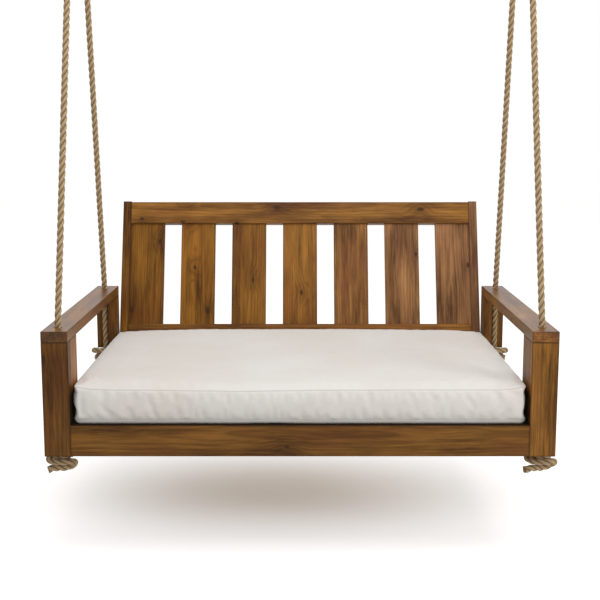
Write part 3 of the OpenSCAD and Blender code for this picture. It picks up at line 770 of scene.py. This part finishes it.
def knot_line(name):
    """The stopper knot under a leg."""
    side, y, foot, _ = HANGERS[name]
    middle = placed(side * ROPE_X, y, foot)
    bends = FRONT_KNOT if name.startswith("front") else REAR_KNOT
    line = []
    for i, (x, back, up) in enumerate(bends):
        if name == "rear_right":
            x = -x
        if name == "front_right":
            # This knot sits a little further out, with a longer tail.
            x += 9 * min(1, i / 6) - 4.2 * max(0, i - 21)
            up -= 0.3 * max(0, i - 21)
        line.append(middle + Vector((x, back, up)) / 1000)
    return line


# ---- Operators ----

# The camera, as fitted to the photograph.
FOCAL_LENGTH = 67.2
SENSOR_WIDTH = 36.0
CAMERA_PLACE = (0.0, -4.3132, -1.389)
CAMERA_TILT = math.radians(81.09)

FLOOR_HEIGHT = -2.88

# Each lamp's name, place, target, diameter and power.
LAMPS = (
    ("overhead_softbox", (0.4, -1.4, 1.6), (0.0, 0.1, -2.2), 4.0, 104.0),
    ("side_softbox", (4.0, -3.2, -1.1), (-0.4, 0.0, -2.2), 1.6, 50.0),
)


class SWINGBED_OT_view(bpy.types.Operator):
    """Adds the camera at the photograph's angle"""

    bl_idname = "swing_bed.view"
    bl_label = "Camera"

    def execute(self, context):
        lens = bpy.data.cameras.new("front_camera")
        lens.lens, lens.sensor_width = FOCAL_LENGTH, SENSOR_WIDTH
        lens.clip_end = 60.0
        eye = bpy.data.objects.new("front_camera", lens)
        eye.location = CAMERA_PLACE
        eye.rotation_euler = (CAMERA_TILT, 0.0, 0.0)
        context.scene.collection.objects.link(eye)
        context.scene.camera = eye
        return {"FINISHED"}


class SWINGBED_OT_ropes(bpy.types.Operator):
    """Lays the four ropes with their knots, eyes and splices"""

    bl_idname = "swing_bed.ropes"
    bl_label = "Ropes"

    def execute(self, context):
        sizes, colours = context.scene.swing_bed_sizes, context.scene.swing_bed_colours
        fibre = rope_fibre(colours)
        strands = strand_radius(sizes.rope_diameter)
        lay = laid_turn(sizes.rope_lay)
        for name in HANGERS:
            line, eye, up = hanger_lines(name)
            rope, length = wrapped_tube(name + "_rope_run", line, lay, strands)
            knot, _ = wrapped_tube(
                name + "_rope_knot", knot_line(name), lay, strands, CLOSE_RINGS, cut_end=True
            )
            loop = self.eye_loop(name, eye, up, strands, lay)
            splice = self.splice(name, eye, up, sizes)
            for piece in (rope, knot, loop, splice):
                piece.data.materials.append(fibre)
                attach(piece, "swing")
            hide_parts(name + "_rope")
            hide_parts(name + "_knot")
        return {"FINISHED"}

    @staticmethod
    def eye_loop(name, eye, up, strands, lay):
        """The rope's way round its thimble and back into the splice."""
        half = math.acos(EYE_RADIUS / EYE_LENGTH)
        across = Vector((1, 0, 0))

        def leg(way):
            """From the splice to where the rope meets its thimble, on one side."""
            touch = EYE_RADIUS * (way * math.sin(half) * across - math.cos(half) * up)
            ends = [eye - down * up + way * aside * across for down, aside in EYE_ENDS]
            return ends + [eye + (-EYE_LENGTH * up).lerp(touch, t) for t in EYE_STEPS]

        points = leg(1)
        for k in range(13):
            a = half + (math.tau - 2 * half) * k / 12
            points.append(eye + EYE_RADIUS * (math.sin(a) * across - math.cos(a) * up))
        points += reversed(leg(-1))
        normal = up.cross(across)
        return wrapped_tube(name + "_rope_eye", points, lay, strands, CLOSE_RINGS, normal=normal)[0]

    @staticmethod
    def splice(name, eye, up, sizes):
        """The three strands tucked back against the lay, tapering down the rope."""
        reach = SPLICE_END - SPLICE_START
        points = [eye - (SPLICE_START + reach * k / 10) * up for k in range(11)]
        plain = sizes.rope_diameter / 2 + 0.0004

        def tucked(angle, s, total):
            t = s / total
            taper = max(0.0, t - TAPER_START) / (1 - TAPER_START)
            body = SPLICE_RADIUS + (plain - SPLICE_RADIUS) * taper
            if t < BLUNT_START:
                body *= 0.90 + 0.10 * t / BLUNT_START
            one = math.cos(3 * angle)
            other = math.cos(3 * angle - 2 * math.tau * s / TUCK_LENGTH)
            hollow = 1 - max(one, other)
            return body - TUCK_DEPTH * hollow, 0.75 * hollow / 2

        against = laid_turn(-sizes.rope_lay)
        return wrapped_tube(name + "_rope_splice", points, against, tucked, 0.0035, sides=36)[0]


class SWINGBED_OT_boards(bpy.types.Operator):
    """Stains the arms, legs, rails, seat and backrest"""

    bl_idname = "swing_bed.boards"
    bl_label = "Boards"

    # Board, grain direction, tone, cool cast and share of knots. The left front inner board's high
    # tone and cool cast are painted light and reflection on its lit side. The strong cool cast of
    # the right stile, and the higher tone and cool cast of back slats 5 to 7, are a painted sheen.
    boards = (
        ("left_armrest", "Y", 0.82, 0.2, 0.25),
        ("right_armrest", "Y", 1.00, 0.4, 0.25),
        ("left_front_leg_board", "Z", 0.64, 0.3, 0.35),
        ("right_front_leg_board", "Z", 1.01, 0.3, 0.35),
        # Painted light and reflection: this board's high tone and cool cast.
        ("left_front_inner_board", "Z", 1.80, 0.8, 0.10),
        ("right_front_inner_board", "Z", 0.90, 0.2, 0.25),
        ("left_rear_leg_board", "Z", 0.90, 0.1, 0.25),
        ("right_rear_leg_board", "Z", 1.00, 0.3, 0.25),
        ("left_rear_inner_board", "Z", 0.85, 0.1, 0.25),
        ("right_rear_inner_board", "Z", 1.00, 0.3, 0.25),
        ("left_side_rail", "Y", 0.80, 0.2, 0.30),
        ("right_side_rail", "Y", 0.85, 0.3, 0.30),
        ("front_rail", "X", 0.71, 0.3, 0.20),
        ("rear_rail", "X", 0.85, 0.2, 0.30),
        ("middle_beam", "X", 0.85, 0.2, 0.30),
        ("front_ledger", "X", 0.90, 0.2, 0.15),
        ("rear_ledger", "X", 0.90, 0.2, 0.15),
        ("seat_slats", "Y", 1.00, 0.3, 0.35),
        ("left_stile", "leaned_up", 0.82, 0.1, 0.20),
        # Painted sheen: this board's strong cool cast.
        ("right_stile", "leaned_up", 1.04, 1.4, 0.0),
        ("back_top_rail", "leaned_across", 1.05, 0.3, 0.45),
        ("back_bottom_rail", "leaned_across", 0.95, 0.3, 0.30),
        ("back_slat_1", "leaned_up", 0.88, 0.0, 0.75),
        ("back_slat_2", "leaned_up", 1.04, 0.0, 0.60),
        ("back_slat_3", "leaned_up", 0.87, 0.1, 0.30),
        ("back_slat_4", "leaned_up", 1.02, 0.2, 0.35),
        # Painted sheen: the higher tone and cool cast of back slats 5 to 7.
        ("back_slat_5", "leaned_up", 1.20, 0.7, 0.0),
        ("back_slat_6", "leaned_up", 1.25, 1.2, 0.40),
        ("back_slat_7", "leaned_up", 1.19, 1.3, 0.30),
        ("screw_plugs", "X", 0.80, 0.2, 0.0),
    )

    def execute(self, context):
        colours = context.scene.swing_bed_colours
        for seed, (name, direction, tone, cool_cast_and_sheen, knots) in enumerate(self.boards, 1):
            gloss = 1.0 if name.endswith("armrest") else 0.4
            board = bpy.data.objects[name]
            stained_board(board, direction, seed, tone, cool_cast_and_sheen, colours, knots, gloss)
        dowels = plain_dowel_wood()
        for name in ("arm_dowels", "leg_dowels", "rail_dowels", "back_dowels"):
            finish_with(bpy.data.objects[name], dowels)
        return {"FINISHED"}


class SWINGBED_OT_fittings(bpy.types.Operator):
    """Plates the ceiling fittings, thimbles and screws"""

    bl_idname = "swing_bed.fittings"
    bl_label = "Fittings"

    def execute(self, context):
        colours = context.scene.swing_bed_colours
        dull = zinc_plate("hot_dip_zinc", colours, 0.32)
        bright = zinc_plate("bright_zinc", colours, 0.20)
        hanging = ["left_ceiling_plate", "right_ceiling_plate", "left_hook", "right_hook"]
        hanging += ["left_ring", "right_ring", *(name + "_thimble" for name in HANGERS)]
        small = ["hook_nuts", "back_bolts", "back_nuts", "back_lag_screws", "back_spacers"]
        small += ["slat_screws"]
        for names, finish in ((hanging, dull), (small, bright)):
            for name in names:
                finish_with(bpy.data.objects[name], finish)
        return {"FINISHED"}


# The cushion's upper seam: rise of its corners, back end and sides, its dip and its waves.
FRONT_EAR = 0.013
BACK_EAR = 0.018
BACK_CLIMB = 0.023
SIDE_RISE = 0.014
FRONT_DIP = 0.0045
SEAM_WAVE = 0.0018
# Its top: the crown's rise at the back and reach from the seam, and the hollow's depth.
BACK_CROWN = 0.008
CROWN_REACH = 0.050
HOLLOW_DEPTH = 0.009
# Its border and lower edge.
BULGE = 0.0065
SIDE_EASE = 0.005
EDGE_ROLL = 0.016
ROW_SHIFT = 0.009
CORNER_RADIUS = 0.014
BACK_LEAN_SHIFT = 0.016
# How long the cloth is inflated, and how far it may move.
CLOTH_FRAMES = 20
CLOTH_CAP = 0.007
# The seams' groove, and how much of its depth and of its painted shade the lower one has.
SEAM_WIDTH = 0.0030
SEAM_DEPTH = 0.0028
LOWER_SEAM = 0.25


class SWINGBED_OT_cushion(bpy.types.Operator):
    """Makes the box cushion, inflates it as cloth and sews its seams"""

    bl_idname = "swing_bed.cushion"
    bl_label = "Cushion"

    def execute(self, context):
        sizes, colours = context.scene.swing_bed_sizes, context.scene.swing_bed_colours
        cover, parts = self.start_shape(sizes)
        self.inflate(context, cover, parts)
        self.sew(cover, parts)
        cover.data.materials.append(linen_cloth(colours))
        smoothing = cover.modifiers.new("smooth_cloth", "SUBSURF")
        smoothing.levels = smoothing.render_levels = 1
        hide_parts("cushion_cover", "cushion_foam")
        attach(cover, "cushion")
        return {"FINISHED"}

    @staticmethod
    def start_shape(sizes):
        """A gridded box with a crowned top, bulging sides and a rolled bottom edge."""
        half_x = sizes.cushion_width / 2
        half_y = (CUSHION_BACK - CUSHION_FRONT) / 2
        high = sizes.border_height
        bm = bmesh.new()
        bmesh.ops.create_cube(bm, size=2.0)
        bmesh.ops.scale(bm, vec=(half_x, half_y, high / 2), verts=bm.verts[:])
        for axis, length in ((0, 2 * half_x), (1, 2 * half_y), (2, high)):
            along = [
                e
                for e in bm.edges
                if abs(abs(e.verts[0].co[axis] - e.verts[1].co[axis]) - length) < 1e-5
            ]
            cuts = round(length / sizes.cloth_cell) - 1
            bmesh.ops.subdivide_edges(bm, edges=along, cuts=cuts, use_grid_fill=True)
        bm.verts.index_update()
        top, bottom = high / 2, -high / 2
        near_edge = 1.5 * sizes.cloth_cell
        parts = {}
        for v in bm.verts:
            x, y, z = v.co
            on_x, on_y = abs(abs(x) - half_x) < 1e-5, abs(abs(y) - half_y) < 1e-5
            upper, lower = abs(z - top) < 1e-5, abs(z - bottom) < 1e-5
            if on_x or on_y:
                parts[v.index] = "top_seam" if upper else "bottom_seam" if lower else "border"
            else:
                parts[v.index] = "top" if upper else "bottom"
            inward = min(half_x - abs(x), half_y - abs(y))
            h = (z - bottom) / high
            wide, deep = abs(x) / half_x, abs(y) / half_y
            # The back end climbs a little on the leaning backrest, most of all in the middle.
            climb = max(0.0, y / half_y) ** 3 * (1 - wide**6)
            ear = FRONT_EAR if y < 0 else BACK_EAR
            lift = h * (ear * wide**20 * deep**20 + BACK_CLIMB * climb)
            lift += h * SIDE_RISE * wide**8 * (1 - deep**14)
            dip = math.exp(-(((x + 0.19) / 0.22) ** 2)) * max(0.0, -y / half_y)
            lift -= h * FRONT_DIP * dip
            lift += h * SEAM_WAVE * noise.noise(Vector((x * 6, y * 6, 2.0)))
            if upper:
                crown = sizes.crown_height + BACK_CROWN * climb
                lift += crown * (1 - math.exp(-inward / CROWN_REACH))
                # A slack hollow runs into the front right corner.
                aside, back = (x - 0.690) / 0.038, (y + 0.28) / 0.13
                lift -= HOLLOW_DEPTH * math.exp(-(aside**2) - back**2)
            elif parts[v.index] == "bottom":
                if inward < near_edge:
                    # The first row under the cushion stands close behind its lower seam.
                    if half_x - abs(x) < near_edge:
                        v.co.x += math.copysign(ROW_SHIFT, x)
                    if half_y - abs(y) < near_edge:
                        v.co.y += math.copysign(ROW_SHIFT, y)
                    wave = noise.noise(Vector((x * 5, y * 5, 8.0)))
                    lift += max(0.0, 0.005 * wave) - 0.0016
            else:
                lift += EDGE_ROLL * (1 - h)
                if lower:
                    lift += 0.0022 * noise.noise(Vector((x * 8, y * 8, 5.0)))
            round_out = math.sin(math.pi * h) ** 0.8 if parts[v.index] == "border" else 0.0
            if on_x:
                v.co.x += math.copysign(BULGE * round_out - SIDE_EASE, x)
            if on_y:
                v.co.y += math.copysign(0.5 * BULGE * round_out, y)
            # The upright edges are rounded.
            qx, qy = abs(x) - (half_x - CORNER_RADIUS), abs(y) - (half_y - CORNER_RADIUS)
            if qx > 0 and qy > 0:
                keep = max(qx, qy) / math.hypot(qx, qy)
                v.co.x -= math.copysign(qx * (1 - keep), x)
                v.co.y -= math.copysign(qy * (1 - keep), y)
            v.co.z += lift
            v.co.y += BACK_LEAN_SHIFT * h * max(0.0, y / half_y) ** 4
        middle = placed(0, (CUSHION_FRONT + CUSHION_BACK) / 2, CUSHION_FLOOR + high / 2)
        bmesh.ops.translate(bm, vec=middle, verts=bm.verts[:])
        bmesh.ops.recalc_face_normals(bm, faces=bm.faces[:])
        return finished("cushion_linen_cover", bm), parts

    @staticmethod
    def inflate(context, cover, parts):
        """Cloth under pressure, held at its seams, with its border cut a little too long."""
        scene = context.scene
        rest = [v.co.copy() for v in cover.data.vertices]
        for group, chosen in (
            ("held", ("top_seam", "bottom_seam", "bottom")),
            ("tight", ("top", "bottom")),
        ):
            on = [i for i, part in parts.items() if part in chosen]
            cover.vertex_groups.new(name=group).add(on, 1.0, "REPLACE")
        cloth = cover.modifiers.new("cloth", "CLOTH")
        for setting, value in (
            ("quality", 5),
            ("mass", 0.3),
            ("tension_stiffness", 15.0),
            ("compression_stiffness", 15.0),
            ("shear_stiffness", 5.0),
            ("bending_stiffness", 0.12),
            ("use_pressure", True),
            ("uniform_pressure_force", 4.0),
            ("vertex_group_mass", "held"),
            ("vertex_group_shrink", "tight"),
            ("shrink_min", -0.050),
            ("shrink_max", -0.006),
        ):
            setattr(cloth.settings, setting, value)
        cloth.settings.effector_weights.gravity = 0.0
        cloth.collision_settings.use_collision = False
        cloth.point_cache.frame_start, cloth.point_cache.frame_end = 1, CLOTH_FRAMES
        for number in range(1, CLOTH_FRAMES + 1):
            scene.frame_set(number)
        dressed = cover.evaluated_get(context.evaluated_depsgraph_get())
        moved = [v.co.copy() for v in dressed.data.vertices]
        cover.modifiers.remove(cloth)
        cover.vertex_groups.clear()
        scene.frame_set(1)
        for v, before, after in zip(cover.data.vertices, rest, moved):
            step = after - before
            if step.length > CLOTH_CAP:
                step *= CLOTH_CAP / step.length
            v.co = before + step

    @staticmethod
    def sew(cover, parts):
        """Cuts a narrow groove along both seams, and stores painted shade along it."""
        bm = bmesh.new()
        bm.from_mesh(cover.data)
        painted_seam_shade = bm.verts.layers.float.new("seam")
        bm.verts.ensure_lookup_table()
        edges = []
        for seam in ("top_seam", "bottom_seam"):
            on = {bm.verts[i] for i, part in parts.items() if part == seam}
            edges += [e for e in bm.edges if e.verts[0] in on and e.verts[1] in on]
        made = bmesh.ops.bevel(
            bm, geom=edges, offset=SEAM_WIDTH, segments=2, profile=0.5, affect="EDGES", material=-1
        )
        strip = set(made["faces"])
        middle = [v for v in made["verts"] if all(f in strip for f in v.link_faces)]
        bm.normal_update()
        inner = [(v, v.normal.copy()) for v in middle]
        half_way = CUSHION_FLOOR - CEILING + 0.06
        for v, normal in inner:
            # The upper seam takes full depth and full painted shade, the lower one a share of both.
            deep = 1.0 if v.co.z > half_way else LOWER_SEAM
            v.co -= normal * SEAM_DEPTH * deep
            v[painted_seam_shade] = deep
        bm.to_mesh(cover.data)
        bm.free()
        cover.data.shade_smooth()


class SWINGBED_OT_stage(bpy.types.Operator):
    """Adds the pale floor, the white surround and the soft lamps"""

    bl_idname = "swing_bed.stage"
    bl_label = "Stage"

    def execute(self, context):
        scene = context.scene
        scene.view_settings.view_transform = "Standard"
        self.surround(scene)
        self.floor(scene)
        for lamp in LAMPS:
            self.lamp(scene, *lamp)
        return {"FINISHED"}

    @staticmethod
    def surround(scene):
        world = bpy.data.worlds.new("white_surround")
        scene.world = world
        world.use_nodes = True
        tree = world.node_tree
        ground = tree.nodes["Background"]
        seen = add_node(tree, "ShaderNodeBackground")
        fill(ground, Color=(1.0, 1.0, 1.0, 1.0), Strength=0.47)
        fill(seen, Color=(1.0, 1.0, 1.0, 1.0), Strength=1.0)
        mix = add_node(tree, "ShaderNodeMixShader")
        feed(mix.inputs[0], seen_straight(tree))
        feed(mix.inputs[1], ground.outputs[0])
        feed(mix.inputs[2], seen.outputs[0])
        feed(tree.nodes["World Output"].inputs["Surface"], mix.outputs[0])

    @staticmethod
    def floor(scene):
        bm = bmesh.new()
        bmesh.ops.create_grid(bm, x_segments=2, y_segments=2, size=14.0)
        bmesh.ops.translate(bm, vec=(0.0, 4.0, FLOOR_HEIGHT), verts=bm.verts[:])
        floor = finished("pale_floor", bm, smooth=False)
        made, tree, shader, place = new_material("pale_floor", (0.9, 0.9, 0.9))
        cloud = noise_at(tree, place["Object"], 0.6, 2.0)
        colour = mixed(tree, cloud, (0.86, 0.85, 0.84, 1.0), (0.88, 0.87, 0.86, 1.0))
        fill(shader, Base_Color=colour, Roughness=1.0, Specular_IOR_Level=0.0)
        # The floor's glow, seen only by the camera, is weaker and warmer under the bed, a painted
        # shadow on top of the real one, and strong away from it, so the floor shows white there.
        offset = vector_maths(tree, "ADD", place["Object"], (0.10, -0.16, -FLOOR_HEIGHT))
        spread = vector_maths(tree, "MULTIPLY", offset, (0.54, 1.0, 0.0))
        away = smooth_step(tree, vector_maths(tree, "LENGTH", spread), 0.05, 0.68)
        glow = add_node(tree, "ShaderNodeEmission")
        glow_with_painted_shadow = mixed(tree, away, (0.265, 0.227, 0.185, 1.0), (0.600, 0.597, 0.595, 1.0))
        fill(glow, Color=glow_with_painted_shadow, Strength=seen_straight(tree))
        both = add_node(tree, "ShaderNodeAddShader")
        feed(both.inputs[0], shader.outputs[0])
        feed(both.inputs[1], glow.outputs[0])
        feed(tree.nodes["Material Output"].inputs["Surface"], both.outputs[0])
        floor.data.materials.append(made)

    @staticmethod
    def lamp(scene, name, where, target, size, power):
        light = bpy.data.lights.new(name, "AREA")
        light.shape, light.size, light.energy = "DISK", size, power
        lamp = bpy.data.objects.new(name, light)
        lamp.location = where
        lamp.rotation_euler = (Vector(target) - Vector(where)).to_track_quat("-Z", "Y").to_euler()
        scene.collection.objects.link(lamp)


class SWINGBED_PT_panel(bpy.types.Panel):
    """Lists the steps and settings of the swing bed"""

    bl_idname = "SWINGBED_PT_panel"
    bl_label = "Swing Bed"
    bl_space_type = "VIEW_3D"
    bl_region_type = "UI"
    bl_category = "Swing Bed"

    def draw(self, context):
        column = self.layout.column()
        for operator in OPERATORS:
            column.operator(operator.bl_idname)
        for group in (context.scene.swing_bed_sizes, context.scene.swing_bed_colours):
            for name in group.__annotations__:
                column.prop(group, name)


OPERATORS = (
    SWINGBED_OT_view,
    SWINGBED_OT_ropes,
    SWINGBED_OT_boards,
    SWINGBED_OT_fittings,
    SWINGBED_OT_cushion,
    SWINGBED_OT_stage,
)
CLASSES = (SwingBedSizes, SwingBedColours, *OPERATORS, SWINGBED_PT_panel)


def register():
    for cls in CLASSES:
        bpy.utils.register_class(cls)
    bpy.types.Scene.swing_bed_sizes = bpy.props.PointerProperty(type=SwingBedSizes)
    bpy.types.Scene.swing_bed_colours = bpy.props.PointerProperty(type=SwingBedColours)


def unregister():
    del bpy.types.Scene.swing_bed_colours
    del bpy.types.Scene.swing_bed_sizes
    for cls in reversed(CLASSES):
        bpy.utils.unregister_class(cls)


def main():
    register()
    bpy.ops.swing_bed.view()
    bpy.ops.swing_bed.ropes()
    bpy.ops.swing_bed.boards()
    bpy.ops.swing_bed.fittings()
    bpy.ops.swing_bed.cushion()
    bpy.ops.swing_bed.stage()


if __name__ == "__main__":
    main()
